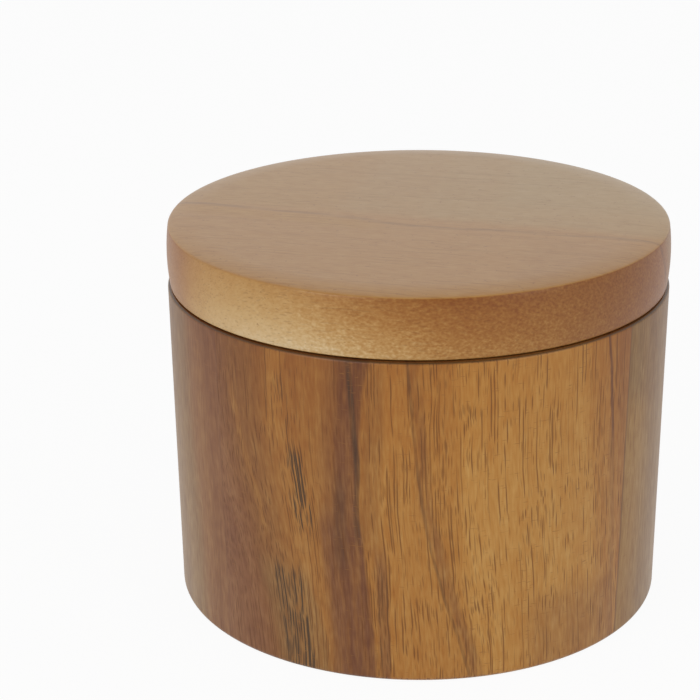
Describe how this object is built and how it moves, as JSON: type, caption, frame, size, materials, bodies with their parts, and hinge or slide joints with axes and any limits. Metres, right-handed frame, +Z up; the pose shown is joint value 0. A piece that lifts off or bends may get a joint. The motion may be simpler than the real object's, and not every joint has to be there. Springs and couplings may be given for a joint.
{
  "type": "lidded box",
  "caption": "Round turned wooden box for spices; its flat lid swings sideways on a hidden pin at the back and rests flush on the rim.",
  "frame": {"origin": "centre of the round base, on the surface that the box stands on", "axes": "+Z up along the turning axis, -Y towards the front and the magnets, +Y towards the lid's pivot, +X to the right"},
  "size_m": [0.102, 0.102, 0.0795],
  "materials": {
    "golden_wood": "satin lacquer over golden heartwood with fine dark pores",
    "brown_wood": "satin lacquer over browner heartwood with fine dark pores",
    "lid_wood": "satin lacquer, faint level grain",
    "steel": "ground",
    "nylon": "natural nylon",
    "nickel": "nickel plating on a disc magnet"
  },
  "bodies": {
    "box": {"box_board_front": "golden_wood", "box_board_mid_front": "brown_wood", "box_board_mid_back": "golden_wood", "box_board_back": "brown_wood", "pivot_sleeve": "nylon", "pivot_washer": "nylon", "box_magnet": "nickel"},
    "lid": {"lid": "lid_wood", "pivot_pin": "steel", "lid_magnet": "nickel"}
  },
  "joints": [
    {"name": "lid_swivel", "type": "hinge", "parent": "box", "child": "lid", "pos_m": [0, 0.04625, 0.06665], "axis": [0, 0, 1], "continuous": true}
  ]
}
